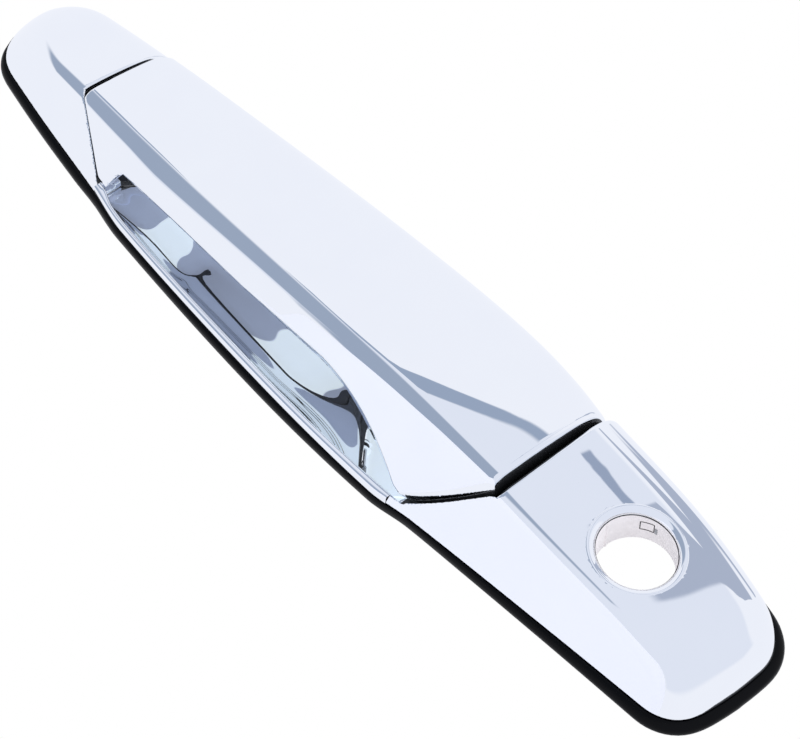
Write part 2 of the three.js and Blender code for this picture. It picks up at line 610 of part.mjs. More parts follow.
function makeNut({ x, y }) {
  const hexagon = new THREE.CylinderGeometry(5.75, 5.75, 5, 6);
  hexagon.rotateX(Math.PI / 2);
  hexagon.translate(x, y, NUT_FACE - 3.9);
  const flange = post(x, y, 5.6, NUT_FACE - 1.5, NUT_FACE, 24, 7);
  return solid(hexagon).add(flange).subtract(post(x, y, STUD_R + GAP, -20, 0));
}

// A pan-head screw that enters from behind, its head under z.
function makeScrew([x, y], under, reach, r) {
  const head = post(x, y, 2.9, under - 1.9, under, 16);
  const recess = box(x - 1.5, x + 1.5, y - 0.35, y + 0.35, under - 3, under - 1.1)
    .add(box(x - 0.35, x + 0.35, y - 1.5, y + 1.5, under - 3, under - 1.1));
  return head.subtract(recess).add(post(x, y, r, under - 0.5, reach, 12));
}

function makeBumper(x, y, z0, z1, r) {
  const profile = [[0, z0], [r, z0], [r, z1 - 1.6], [r - 0.5, z1 - 0.6], [r - 1.6, z1], [0, z1]];
  const geometry = new THREE.LatheGeometry(profile.map(([a, b]) => new THREE.Vector2(a, b)), 18);
  geometry.rotateX(Math.PI / 2);
  geometry.translate(x, y, 0);
  return solid(geometry);
}

// A leaf of spring steel in the window in the lock hole's sleeve.
function makeLockClip() {
  const z = lockRimZ() - LOCK_SLOT.low + GAP;
  const { x0, x1 } = LOCK_SLOT;
  return box(LOCK.x + x0 + 2 * GAP, LOCK.x + x1 - 2 * GAP, 9.8, 11.2, z, z + 2.2);
}

// ---- Materials and the object ----

function finish(color, roughness, metalness) {
  return new THREE.MeshStandardMaterial({ color, roughness, metalness });
}
const CHROME = () => finish(0xe9eef6, 0.05, 1);
const STEEL = () => finish(0xb9bcc0, 0.32, 1);
const ZINC = () => finish(0x9ea1a5, 0.45, 1);
const BLACK = () => finish(0x1b1c1f, 0.5, 0);
const RUBBER = () => finish(0x141416, 0.62, 0);
const NYLON = () => finish(0xe8e6dc, 0.45, 0);

const lying = new THREE.Group();
function piece(name, manifold, material) {
  const mesh = new THREE.Mesh(geometryOf(manifold), material);
  mesh.name = name;
  lying.add(mesh);
}

piece('bezel', makeBezel(), CHROME());
piece('finger_cup', makeCup(), CHROME());
piece('seal', makeSeal(), RUBBER());
piece('lock_ring', makeLockRing(), CHROME());
piece('lock_sleeve', makeLockSleeve(), NYLON());
piece('lock_clip', makeLockClip(), STEEL());
piece('paddle_shell', makePaddleShell(), CHROME());
piece('paddle_backing', makePaddleBacking(), BLACK());
piece('hinge_pin', makeHingePin(), STEEL());
piece('hinge_clip_left', makeClip(HINGE.y, HINGE.z, HINGE_EARS[0] - 7), STEEL());
piece('hinge_clip_right', makeClip(HINGE.y, HINGE.z, ARM_X[1] + 1.2), STEEL());
piece('return_spring', makeSpring(HINGE.y, HINGE.z, 3.4, 0.5, 3, 6, 1.6, {
  start: -Math.PI / 2, first: [-7, 0.4], last: [-7, 0.4],
}), STEEL());
piece('chassis', makeChassis(), BLACK());
piece('release_lever', makeReleaseLever(), ZINC());
piece('lever_pin', rod(LEVER.y, LEVER.z, PIN_R, 58.6, 79), STEEL());
piece('lever_clip_left', makeClip(LEVER.y, LEVER.z, 59.3), STEEL());
piece('lever_clip_right', makeClip(LEVER.y, LEVER.z, 77.5), STEEL());
piece('counterweight', makeCounterweight(), ZINC());
piece('rod_clip', makeRodClip(), NYLON());
for (const stud of STUDS) {
  piece(`stud_${stud.name}`, makeStud(stud), STEEL());
  piece(`nut_${stud.name}`, makeNut(stud), STEEL());
}
CHASSIS_SCREWS.forEach((at, i) => {
  piece(`chassis_screw_${i + 1}`, makeScrew(at, PLATE_LOW - GAP, 5.2, 1.4), STEEL());
});
CUP_SCREWS.forEach((at, i) => piece(`cup_screw_${i + 1}`, makeScrew(at, 0.5, 4.4, 1.1), STEEL()));
piece('bump_stop_left', makeBumper(-92, -6, FLOOR + GAP, backAt(-96, -6) - GAP, 3.5), RUBBER());
piece('bump_stop_right', makeBumper(STOP_POST.x, STOP_POST.y, STOP_POST.top + GAP,
  backAt(56, STOP_POST.y) - GAP, 3.5), RUBBER());

const handle = new THREE.Group();
lying.rotation.x = Math.PI / 2;
handle.add(lying);

export default handle;
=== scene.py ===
"""Looks of a chrome car door handle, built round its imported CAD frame.

Shapes are worked out in millimetres with the handle lying on its back: x along the length, y towards the hinge edge,
z outwards from the door skin. to_row() turns them to the row frame: X along the length, -Y outwards, +Z up, in metres.
"""

import math

import bpy
import numpy as np
from mathutils import Matrix, Vector


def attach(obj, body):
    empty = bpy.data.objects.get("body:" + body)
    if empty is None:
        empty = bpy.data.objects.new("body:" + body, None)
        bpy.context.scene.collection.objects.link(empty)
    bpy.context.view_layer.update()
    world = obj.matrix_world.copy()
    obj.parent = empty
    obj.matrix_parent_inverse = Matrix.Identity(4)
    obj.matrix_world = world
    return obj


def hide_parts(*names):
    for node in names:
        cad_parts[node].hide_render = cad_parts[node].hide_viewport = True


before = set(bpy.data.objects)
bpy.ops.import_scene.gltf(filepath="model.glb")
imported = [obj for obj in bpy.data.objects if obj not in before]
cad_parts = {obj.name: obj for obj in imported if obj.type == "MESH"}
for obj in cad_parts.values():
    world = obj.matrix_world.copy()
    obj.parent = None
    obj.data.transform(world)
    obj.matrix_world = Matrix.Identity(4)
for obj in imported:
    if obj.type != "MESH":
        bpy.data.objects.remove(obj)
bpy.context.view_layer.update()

MM = 0.001

# ---- Driving dimensions, as in the CAD ----

HALF_LENGTH = 149.7
TIP_ROUND = 3.4
SEAL_HEIGHT = 2.9
SEAL_IN = 3.6
FLANGE = 3.2
FLOOR = 5.6
WALL = 2.4
DRAFT = 0.21
CREASE_Y = -18.0
TOP_WALL_EDGE = 11.2
LEG_END = FLOOR + 0.6
LOCK_X, LOCK_Y, LOCK_R, LOCK_WALL, LOCK_DEPTH = 111.0, 0.0, 10.5, 2.2, 10.4
STUDS = [(-119.0, -8.0), (91.0, -9.0)]
BOSS_R = 7.0
POST_X, POST_Y, POST_R, POST_TOP = 60.0, -12.0, 4.0, 15.0
HINGE_EARS = [-26.0, 50.0]
EAR_SLOT_HALF = 2.6
EAR_SLOT_Y = (10.6, 20.4)
ARM_SLOT_X = (62.5, 71.0)
ARM_SLOT_Y = (3.0, 21.5)
SLOT_TOP = 9.0
CUP_ENDS = [-79.2, 54.6]
LEAST_WIDTH = 1.2
CUP_DEPTH = 19.0
CUP_RIM = 2.9
CUP_WALL = 2.2
CUP_FLANGE = 1.6
LEDGE_LAP = 0.7
OUT = 46.0  # past every edge: where the plan outlines are closed

# The outer face: how far it falls from the crease towards the hinge edge, and how its edges are rounded.
TOP_LEAN = 0.045
TOP_CROWN = 0.0006
LEFT_CROWN = 0.0034
PADDLE_LEAN = 0.02
PADDLE_CROWN = 0.003
WALL_ROUND = 9.0
CREASE_ROUND = 3.0
LEFT_TIP_ROUND = 19.0


def along(*points):
    """A smooth line through [x, value] pairs."""
    at = np.array(points, float)
    last = len(at) - 1
    before = np.maximum(np.arange(last + 1) - 1, 0)
    after = np.minimum(np.arange(last + 1) + 1, last)
    slope = (at[after, 1] - at[before, 1]) / (at[after, 0] - at[before, 0])

    def value(x):
        x = np.asarray(x, float)
        i = np.clip(np.searchsorted(at[:, 0], x) - 1, 0, last - 1)
        width = at[i + 1, 0] - at[i, 0]
        t = np.clip((x - at[i, 0]) / width, 0, 1)
        return (at[i, 1] * (1 + 2 * t) * (1 - t) ** 2 + at[i + 1, 1] * t * t * (3 - 2 * t)
                + width * (slope[i] * t * (1 - t) ** 2 - slope[i + 1] * t * t * (1 - t)))
    return value


base_low = along([-150, -22.4], [-115, -27.4], [-84, -31.1], [-66, -33.7], [0, -35.2], [46, -33.6],
                 [60, -31], [108, -24.7], [150, -19.6])
base_high = along([-150, 8], [-137, 11], [-108, 15.4], [-60, 21.2], [-10, 25.4], [38, 27.3],
                  [80, 26.7], [110, 25.6], [135, 21.8], [150, 17.5])
base_crease_y = along([-150, -15], [-130, -17.6], [78, -18.2], [136, -15.9], [150, -14.6])
base_crease_z = along([-150, 12.2], [-136, 14.1], [-104, 17.2], [-90, 18], [70, 27.6], [78, 27],
                      [136, 19.4], [150, 17.6])
paddle_high = along([-112, 12.8], [-84, 16.9], [-34, 22.1], [14, 25.5], [45, 26.3], [63, 25.2], [80, 22.4])
paddle_crease_z = along([-112, 17.8], [-80, 18.9], [-50, 20.9], [0, 26.1], [40, 29.8], [84, 30.6])
cup_low = along([-80, -28.7], [-73, -31], [-55, -32.3], [0, -33], [30, -32.3], [58, -30])
seal_low = along([-150, 0.1], [-147.5, 0.5], [-144, 1.4], [-138, 1.9], [-92, 1.9], [-76, 1.2], [0, 1.3],
                 [46, 0.9], [58, 0.7], [80, 1.2], [110, 1.8], [140, 2.5])
seal_high = along([-150, 0.3], [-130, 0.6], [110, 1], [145, 2.4])
cup_high = along([-80, -25], [-66, -8], [-40, 3], [0, 6], [30, 2], [48, -12], [58, -28])


def smooth_step(t):
    """0 up to 0, 1 from 1 on, smooth between."""
    c = np.clip(t, 0, 1)
    return c * c * (3 - 2 * c)


def smooth_max(a, b, k):
    """The larger of the two, rounded over k where they are close."""
    h = np.maximum(k - np.abs(a - b), 0)
    return np.maximum(a, b) + h * h / (4 * k)


# ---- The outer forms: negative inside, about a distance in millimetres near the surface ----

def facet_distance(y, z, crease_y, crease_z, low_y):
    """Distance from the flat face that runs from the flange's lower edge up to the crease."""
    rise = crease_z - FLANGE
    run = crease_y - low_y
    return ((z - crease_z) * run - (y - crease_y) * rise) / np.hypot(rise, run)


def bezel_form(x, y, z):
    """The bezel's outer face: a flat lower face up to the crease, a crowned top, and leaning walls and tips."""
    crease_y = base_crease_y(x)
    crease_z = base_crease_z(x)
    across = y - crease_y
    crown = TOP_CROWN + LEFT_CROWN * (1 - smooth_step((x + 60) / 60))
    facet = facet_distance(y, z, crease_y, crease_z, base_low(x))
    top = z - (crease_z - TOP_LEAN * across - crown * across * across)
    wall = (y - base_high(x)) * math.cos(DRAFT) + (z - FLANGE) * math.sin(DRAFT)
    right_tip = HALF_LENGTH - 0.006 * (y - 2) ** 2
    right = (x - right_tip) * math.cos(DRAFT) + (z - FLANGE) * math.sin(DRAFT)
    left = -(x + HALF_LENGTH + TIP_ROUND) * math.cos(DRAFT) + (z - FLANGE) * math.sin(DRAFT)
    crease_round = CREASE_ROUND + 9 * smooth_step((np.abs(x) - 118) / 30)
    section = smooth_max(smooth_max(top, wall, WALL_ROUND), facet, crease_round)
    return smooth_max(smooth_max(section, right, WALL_ROUND), left, LEFT_TIP_ROUND)


def paddle_form(x, y, z):
    """The paddle's outer face, which carries the bezel's lower face and crease on."""
    crease_z = paddle_crease_z(x)
    across = y - CREASE_Y
    facet = facet_distance(y, z, CREASE_Y, crease_z, base_low(x))
    top = z - (crease_z - PADDLE_LEAN * across - PADDLE_CROWN * across * across)
    wall = (y - paddle_high(x)) * math.cos(DRAFT) + (z - TOP_WALL_EDGE) * math.sin(DRAFT)
    return smooth_max(smooth_max(top, wall, WALL_ROUND), facet, CREASE_ROUND)


# ---- Plan outlines ----

def bezier(points, count):
    """Points along a Bezier curve with these control points."""
    controls = np.array(points, float)
    n = len(controls) - 1
    t = np.linspace(0, 1, count)[:, None]
    return sum(math.comb(n, i) * (1 - t) ** (n - i) * t ** i * controls[i] for i in range(n + 1)).tolist()


def outline_distance(points):
    """Signed distance to a closed plan outline, negative inside."""
    a = np.array(points, float)
    b = np.roll(a, -1, axis=0)

    def value(x, y):
        x, y = np.broadcast_arrays(x, y)
        nearest = np.full(x.shape, np.inf)
        inside = np.zeros(x.shape, bool)
        for (ax, ay), (bx, by) in zip(a, b):
            ex, ey = bx - ax, by - ay
            t = np.clip(((x - ax) * ex + (y - ay) * ey) / (ex * ex + ey * ey), 0, 1)
            nearest = np.minimum(nearest, (x - ax - t * ex) ** 2 + (y - ay - t * ey) ** 2)
            if ay != by:
                crosses = (ay > y) != (by > y)
                inside ^= crosses & (x < ax + (y - ay) * ex / ey)
        return np.where(inside, -1, 1) * np.sqrt(nearest)
    return value


GRIP_Y = -24.1
LEG_Y = -29.5
LEFT_LEG = bezier([[-79.6, -29.2], [-76.2, -27.6], [-76.6, -24.4]], 9)
RIGHT_LEG = bezier([[14, -23.3], [30, -23.7], [40, -26.2], [51.4, -29.6]], 17)
paddle_outline = outline_distance([
    [-104.1, OUT], [-103.5, CREASE_Y + 1.2], [-103.1, CREASE_Y - 0.5], [-81.6, -29.65], *LEFT_LEG,
    [-50, GRIP_Y], [-20, GRIP_Y], *RIGHT_LEG, [53.8, -29.7], [77.6, CREASE_Y], [74.8, OUT]])
pocket_outline = outline_distance([
    [-107.6, OUT], [-105.7, -16.2], [-103.5, -18.3], [-81.9, -29.8], [-82.5, -OUT], [52, -OUT], [52, -31.4],
    [55.2, -30.4], [79.0, -18.4], [76.2, OUT]])


def cup_at(t):
    """The scoop's place along the handle and its two edges, for t from 0 to 1."""
    x = CUP_ENDS[0] + (CUP_ENDS[1] - CUP_ENDS[0]) * (1 - np.cos(np.pi * t)) / 2
    low = cup_low(x)
    return x, low, np.maximum(cup_high(x), low + LEAST_WIDTH)


def cup_ring():
    """The scoop's opening in plan."""
    x, low, high = cup_at(np.linspace(0, 1, 33))
    return np.concatenate([np.c_[x, low], np.c_[x, high][::-1]])


cup_outline = outline_distance(cup_ring())


# ---- Meshes from the forms ----

def gradient(field, points, reach=0.02):
    """The field's slope at each point, from values a little to either side."""
    slope = np.empty_like(points)
    for k in range(3):
        shift = np.zeros(3)
        shift[k] = reach
        ahead, behind = points + shift, points - shift
        slope[:, k] = (field(*ahead.T) - field(*behind.T)) / (2 * reach)
    return slope


def crossing_points(field, axes, axis, at, first, second):
    """Where the surface cuts the grid's edges, and its normals there."""
    near = np.stack([axes[k][at[:, k]] for k in range(3)], axis=1)
    far = near.copy()
    far[:, axis] = axes[axis][at[:, axis] + 1]
    for _ in range(3):
        share = np.clip(first / (first - second), 0.05, 0.95)[:, None]
        middle = near + share * (far - near)
        value = field(*middle.T)
        same = (value < 0) == (first < 0)
        near = np.where(same[:, None], middle, near)
        far = np.where(same[:, None], far, middle)
        first = np.where(same, value, first)
        second = np.where(same, second, value)
    points = near + (first / (first - second))[:, None] * (far - near)
    slope = gradient(field, points)
    return points, slope / np.maximum(np.linalg.norm(slope, axis=1), 1e-6)[:, None]


def surface_net(field, axes, pull=0.04):
    """Quads where field(x, y, z) changes sign, one point a cell, drawn to where the cut planes meet."""
    value = field(axes[0][:, None, None], axes[1][None, :, None], axes[2][None, None, :])
    inside = value < 0
    cells = tuple(n - 1 for n in value.shape)
    size = int(np.prod(cells))
    hits = np.zeros(size)
    sums = np.zeros((15, size))
    edges = []
    for axis, (u, v) in enumerate(((1, 2), (2, 0), (0, 1))):
        first = np.take(value, range(value.shape[axis] - 1), axis)
        second = np.take(value, range(1, value.shape[axis]), axis)
        crossing = (first < 0) != (second < 0)
        at = np.argwhere(crossing)
        points, normals = crossing_points(field, axes, axis, at, first[crossing], second[crossing])
        reach = (points * normals).sum(1)
        rows = [*points.T, *(normals * reach[:, None]).T]
        rows += [normals[:, i] * normals[:, j] for i in range(3) for j in range(3)]
        for du in (0, 1):
            for dv in (0, 1):
                cell = at.copy()
                cell[:, u] -= du
                cell[:, v] -= dv
                kept = ((cell >= 0) & (cell < cells)).all(1)
                flat = np.ravel_multi_index(cell[kept].T, cells)
                hits += np.bincount(flat, minlength=size)
                for total, row in zip(sums, rows):
                    total += np.bincount(flat, row[kept], minlength=size)
        edges.append((axis, u, v, at))
    active = np.flatnonzero(hits)
    number = np.full(size, -1)
    number[active] = np.arange(len(active))
    count = hits[active][:, None]
    middle = (sums[:3, active].T / count)
    rhs = sums[3:6, active].T
    matrix = sums[6:, active].T.reshape(-1, 3, 3) + pull * count[:, :, None] * np.eye(3)
    points = np.linalg.solve(matrix, (rhs + pull * count * middle)[:, :, None])[:, :, 0]
    index = np.stack(np.unravel_index(active, cells), axis=1)
    for k in range(3):
        points[:, k] = np.clip(points[:, k], axes[k][index[:, k]], axes[k][index[:, k] + 1])
    quads = []
    for axis, u, v, at in edges:
        at = at[(at[:, u] > 0) & (at[:, v] > 0) & (at[:, u] < cells[u]) & (at[:, v] < cells[v])]
        corner = []
        for du, dv in ((1, 1), (0, 1), (0, 0), (1, 0)):
            cell = at.copy()
            cell[:, u] -= du
            cell[:, v] -= dv
            corner.append(number[np.ravel_multi_index(cell.T, cells)])
        face = np.stack(corner, axis=1)
        outwards = inside[tuple(at.T)]
        face[~outwards] = face[~outwards][:, ::-1]
        quads.append(face)
    return points, np.concatenate(quads)


def settle(field, points, most):
    """Moves points onto the surface, by no more than most in one round."""
    for _ in range(2):
        slope = gradient(field, points)
        move = field(*points.T)[:, None] * slope / np.maximum((slope ** 2).sum(1), 0.3)[:, None]
        length = np.linalg.norm(move, axis=1)[:, None]
        points = points - move * np.minimum(1, most / np.maximum(length, 1e-9))
    return points


def steps(*stops):
    """Grid lines from [place, step from here on] pairs, closed by a last place."""
    lines = [np.linspace(a, b, max(2, int(round((b - a) / step)) + 1))[:-1]
             for (a, step), (b, _) in zip(stops[:-1], stops[1:])]
    return np.concatenate([*lines, [stops[-1][0]]])


def to_row(points):
    """Lying x, y, z turned to the row frame's axes."""
    p = np.asarray(points, float)
    return np.stack([p[:, 0], -p[:, 2], p[:, 1]], axis=1)


def make_object(name, points, faces, materials, normals=None, pick=None, mask=None):
    """A smooth-shaded object from points in lying millimetres. pick gives each face's material from its middle."""
    faces = np.asarray(faces)
    mesh = bpy.data.meshes.new(name)
    mesh.vertices.add(len(points))
    mesh.vertices.foreach_set("co", (to_row(points) * MM).astype(np.float32).ravel())
    sides = faces.shape[1]
    mesh.loops.add(faces.size)
    mesh.loops.foreach_set("vertex_index", faces.astype(np.int32).ravel())
    mesh.polygons.add(len(faces))
    mesh.polygons.foreach_set("loop_start", np.arange(0, faces.size, sides, dtype=np.int32))
    mesh.polygons.foreach_set("loop_total", np.full(len(faces), sides, np.int32))
    mesh.update(calc_edges=True)
    mesh.polygons.foreach_set("use_smooth", np.ones(len(faces), bool))
    for material in materials:
        mesh.materials.append(material)
    if pick is not None:
        mesh.polygons.foreach_set("material_index", pick(np.asarray(points)[faces].mean(axis=1)).astype(np.int32))
    if mask is not None:
        layer = mesh.attributes.new("black", "FLOAT", "POINT")
        layer.data.foreach_set("value", np.clip(mask(*np.asarray(points).T), -5, 5).astype(np.float32))
    if normals is not None:
        row = to_row(normals)
        mesh.normals_split_custom_set(row / np.linalg.norm(row, axis=1)[:, None])
    mesh.update()
    made = bpy.data.objects.new(name, mesh)
    bpy.context.scene.collection.objects.link(made)
    return made


# Where a face turns away from the surface's own direction by more than this, it is shaded flat.
EDGE_COSINE = 0.9


def net_object(name, field, axes, materials, pick=None, mask=None):
    """An object from the surface of field(x, y, z), with crisp shading at its sharp edges."""
    points, faces = surface_net(field, axes)
    points = settle(field, points, 0.1)
    slope = gradient(field, points)
    slope /= np.maximum(np.linalg.norm(slope, axis=1), 1e-6)[:, None]
    corners = points[faces]
    across = np.cross(corners[:, 2] - corners[:, 0], corners[:, 3] - corners[:, 1])
    across /= np.maximum(np.linalg.norm(across, axis=1), 1e-9)[:, None]
    normals = slope[faces]
    bent = (normals * across[:, None]).sum(2) < EDGE_COSINE
    normals[bent] = np.repeat(across[:, None], 4, axis=1)[bent]
    return make_object(name, points, faces, materials, normals.reshape(-1, 3), pick, mask)


def grid_faces(rows, columns, closed_rows=False, closed_columns=False):
    """Quads over a grid of points numbered row by row."""
    r = np.arange(rows if closed_rows else rows - 1)
    c = np.arange(columns if closed_columns else columns - 1)
    a, b = np.meshgrid(r, c, indexing="ij")
    a2, b2 = (a + 1) % rows, (b + 1) % columns
    return np.stack([a * columns + b, a2 * columns + b, a2 * columns + b2, a * columns + b2], axis=-1).reshape(-1, 4)


# ---- Node helpers ----

class Sum:
    """A node socket that takes arithmetic."""

    tree = None

    def __init__(self, socket):
        self.socket = socket

    @classmethod
    def math(cls, operation, *values):
        node = cls.tree.nodes.new("ShaderNodeMath")
        node.operation = operation
        for slot, value in zip(node.inputs, values):
            if isinstance(value, Sum):
                cls.tree.links.new(value.socket, slot)
            else:
                slot.default_value = value
        return Sum(node.outputs[0])

    def __add__(self, other):
        return Sum.math("ADD", self, other)

    def __sub__(self, other):
        return Sum.math("SUBTRACT", self, other)

    def __rsub__(self, other):
        return Sum.math("SUBTRACT", other, self)

    def __mul__(self, other):
        return Sum.math("MULTIPLY", self, other)

    def rise(self, low, high):
        """0 below low, 1 above high, smooth between."""
        node = Sum.tree.nodes.new("ShaderNodeMapRange")
        node.interpolation_type = "SMOOTHSTEP"
        Sum.tree.links.new(self.socket, node.inputs["Value"])
        node.inputs["From Min"].default_value = low
        node.inputs["From Max"].default_value = high
        return Sum(node.outputs["Result"])

    def between(self, low, high, soft):
        return self.rise(low - soft, low + soft) * (1 - self.rise(high - soft, high + soft))


def mix_colour(tree, under, over, share):
    """A mix of two colours or colour sockets, by a 0 to 1 share."""
    node = tree.nodes.new("ShaderNodeMix")
    node.data_type = "RGBA"
    tree.links.new(share.socket, node.inputs["Factor"])
    for slot, value in ((node.inputs[6], under), (node.inputs[7], over)):
        if isinstance(value, tuple):
            slot.default_value = (*value, 1)
        else:
            tree.links.new(value, slot)
    return node.outputs[2]


def place_parts(tree, space):
    """The x, y and z of a texture coordinate."""
    place = tree.nodes.new("ShaderNodeTexCoord")
    parts = tree.nodes.new("ShaderNodeSeparateXYZ")
    tree.links.new(place.outputs[space], parts.inputs[0])
    return [Sum(parts.outputs[i]) for i in range(3)]


# ---- Materials ----

def new_material(name, colour, roughness, metallic, **sockets):
    """A material with one shader. Other sockets are given by name, with _ for a space."""
    material = bpy.data.materials.new(name)
    material.use_nodes = True
    tree = material.node_tree
    shader = tree.nodes["Principled BSDF"]
    shader.inputs["Base Color"].default_value = (*colour, 1)
    shader.inputs["Roughness"].default_value = roughness
    shader.inputs["Metallic"].default_value = metallic
    for socket, value in sockets.items():
        shader.inputs[socket.replace("_", " ")].default_value = value
    return material, tree, shader


def noise(tree, scale, detail=2.0, stretch=None):
    """Noise in the object's own metres, scale waves per metre."""
    place = tree.nodes.new("ShaderNodeTexCoord")
    source = place.outputs["Object"]
    if stretch:
        mapping = tree.nodes.new("ShaderNodeMapping")
        mapping.inputs["Scale"].default_value = stretch
        tree.links.new(source, mapping.inputs["Vector"])
        source = mapping.outputs["Vector"]
    node = tree.nodes.new("ShaderNodeTexNoise")
    tree.links.new(source, node.inputs["Vector"])
    node.inputs["Scale"].default_value = scale
    node.inputs["Detail"].default_value = detail
    return node.outputs["Fac"]


def spread(tree, source, low, high):
    """A 0 to 1 texture value moved to run from low to high."""
    node = tree.nodes.new("ShaderNodeMapRange")
    tree.links.new(source, node.inputs["Value"])
    node.inputs["From Min"].default_value = 0.3
    node.inputs["From Max"].default_value = 0.7
    node.inputs["To Min"].default_value = low
    node.inputs["To Max"].default_value = high
    return node.outputs["Result"]


def bump(tree, shader, source, height):
    """Relief of this height in metres."""
    node = tree.nodes.new("ShaderNodeBump")
    node.inputs["Distance"].default_value = height
    node.inputs["Strength"].default_value = 1.0
    tree.links.new(source, node.inputs["Height"])
    tree.links.new(node.outputs["Normal"], shader.inputs["Normal"])


def vary(tree, shader, source, low, high):
    """The base colour runs from low to high with a texture value."""
    mixed = mix_colour(tree, low, high, Sum(spread(tree, source, 0, 1)))
    tree.links.new(mixed, shader.inputs["Base Color"])


def make_chrome(name, low, high, black=False):
    """Bright plating. With black, the piece turns to black plastic where its own "black" value is above 0: bare on a
    hidden back, and painted shade deep in gaps and the pocket.
    """
    material, tree, shader = new_material(name, high, 0.03, 1.0)
    vary(tree, shader, noise(tree, 60, 3), low, high)
    rough = spread(tree, noise(tree, 900, 4), 0.004, 0.014)
    bump(tree, shader, noise(tree, 45, 1.0), 0.00002)
    if black:
        layer = tree.nodes.new("ShaderNodeAttribute")
        layer.attribute_name = "black"
        Sum.tree = tree
        share = Sum(layer.outputs["Fac"]).rise(-0.06, 0.06)
        plating = shader.inputs["Base Color"].links[0].from_socket
        tree.links.new(mix_colour(tree, plating, (0.012, 0.0125, 0.014), share), shader.inputs["Base Color"])
        tree.links.new((1 - share).socket, shader.inputs["Metallic"])
        tree.links.new((Sum(rough) + share * 0.42).socket, shader.inputs["Roughness"])
    else:
        tree.links.new(rough, shader.inputs["Roughness"])
    return material


PLATING = ((0.895, 0.915, 0.95), (0.905, 0.925, 0.955))
CHROME = make_chrome("chrome_plate", *PLATING)
SHELL_CHROME = make_chrome("shell_chrome", *PLATING, black=True)
CUP_CHROME = make_chrome("chrome_cup", (0.87, 0.895, 0.935), (0.885, 0.91, 0.945), black=True)


def make_black(name, colour, roughness, grain, height, gloss=0.35):
    """Black plastic or rubber with a fine grain."""
    material, tree, shader = new_material(name, colour, roughness, 0.0, Specular_IOR_Level=gloss)
    vary(tree, shader, noise(tree, 120, 4), tuple(c * 0.8 for c in colour), tuple(c * 1.3 for c in colour))
    tree.links.new(spread(tree, noise(tree, grain * 0.5, 3), roughness - 0.06, roughness + 0.08),
                   shader.inputs["Roughness"])
    bump(tree, shader, noise(tree, grain, 5), height)
    return material


def make_nylon(name, colour, roughness, patch, low, high, **sockets):
    """Pale moulded nylon, mottled between two colours in patches."""
    material, tree, shader = new_material(name, colour, roughness, 0.0, **sockets)
    vary(tree, shader, noise(tree, patch, 3), low, high)
    bump(tree, shader, noise(tree, 2500, 3), 0.00002)
    return material


# The sleeve's grey carries a faint painted glow, its emission, that lifts it out of the shade in the lock hole.
SLEEVE_GREY = make_nylon("sleeve_grey", (0.76, 0.755, 0.745), 0.4, 400, (0.80, 0.77, 0.765), (0.86, 0.83, 0.825),
                         Emission_Color=(1.0, 0.93, 0.94, 1), Emission_Strength=0.14)
BLACK = make_black("black_nylon", (0.012, 0.0125, 0.014), 0.48, 4200, 0.00003)
RUBBER = make_black("seal_rubber", (0.0016, 0.0016, 0.0022), 0.3, 3000, 0.00001, 0.1)
STOP_RUBBER = make_black("stop_rubber", (0.012, 0.012, 0.012), 0.6, 2600, 0.00003)


def make_metal(name, low, high, roughness, grain, stretch=None):
    """Bare or zinc-plated metal. stretch draws its grain out into lines."""
    material, tree, shader = new_material(name, high, roughness, 1.0)
    vary(tree, shader, noise(tree, grain * 0.15, 4), low, high)
    tree.links.new(spread(tree, noise(tree, grain, 4, stretch), roughness - 0.08, roughness + 0.1),
                   shader.inputs["Roughness"])
    bump(tree, shader, noise(tree, grain * 1.4, 4, stretch), 0.00001)
    return material


def make_inside():
    """The hollow back of the paddle, with a painted glow for the light that bounces round the recess, and a brighter
    painted patch of light towards +X that the cup mirrors.
    """
    material = make_nylon("paddle_inside", (0.35, 0.39, 0.48), 0.5, 40, (0.32, 0.36, 0.45), (0.38, 0.42, 0.51),
                          Emission_Strength=0.75)
    tree = Sum.tree = material.node_tree
    x, _, z = place_parts(tree, "Object")
    # Painted light: the glow is brighter beyond a slanted line towards +X.
    painted_light_patch = (x + z * 0.9).rise(-0.0415, -0.0405)
    glow = mix_colour(tree, (0.27, 0.305, 0.40), (0.86, 0.95, 1.0), painted_light_patch)
    tree.links.new(glow, tree.nodes["Principled BSDF"].inputs["Emission Color"])
    return material


INSIDE = make_inside()
SPRING = make_metal("spring_steel", (0.36, 0.37, 0.39), (0.50, 0.51, 0.53), 0.28, 900)
PIN = make_metal("pin_steel", (0.50, 0.51, 0.53), (0.62, 0.63, 0.65), 0.25, 1800, (0.05, 1, 1))
ZINC = make_metal("zinc_plate", (0.46, 0.47, 0.49), (0.62, 0.63, 0.64), 0.33, 700)
SCREW = make_metal("zinc_screw", (0.42, 0.43, 0.45), (0.58, 0.59, 0.60), 0.33, 900)
CAST = make_metal("zinc_cast", (0.30, 0.31, 0.33), (0.42, 0.43, 0.45), 0.5, 1500)
NYLON = make_nylon("clip_nylon", (0.72, 0.70, 0.64), 0.45, 300, (0.66, 0.64, 0.57), (0.76, 0.74, 0.68),
                   Subsurface_Weight=0.1)

NODE_MATERIALS = {
    "lock_clip": SPRING, "return_spring": SPRING, "hinge_clip_left": SPRING, "hinge_clip_right": SPRING,
    "lever_clip_left": SPRING, "lever_clip_right": SPRING, "hinge_pin": PIN, "lever_pin": PIN,
    "chassis": BLACK, "paddle_backing": INSIDE, "release_lever": CAST, "counterweight": CAST, "rod_clip": NYLON,
    "stud_left": ZINC, "stud_right": ZINC, "nut_left": ZINC, "nut_right": ZINC,
    "bump_stop_left": STOP_RUBBER, "bump_stop_right": STOP_RUBBER,
    "lock_ring": CHROME, "lock_sleeve": SLEEVE_GREY, "bezel": CHROME, "finger_cup": CUP_CHROME, "seal": RUBBER,
    "paddle_shell": CHROME,
}
for node_name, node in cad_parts.items():
    material = NODE_MATERIALS.get(node_name, SCREW)
    node.data.materials.clear()
    node.data.materials.append(material)


# ---- Bezel ----

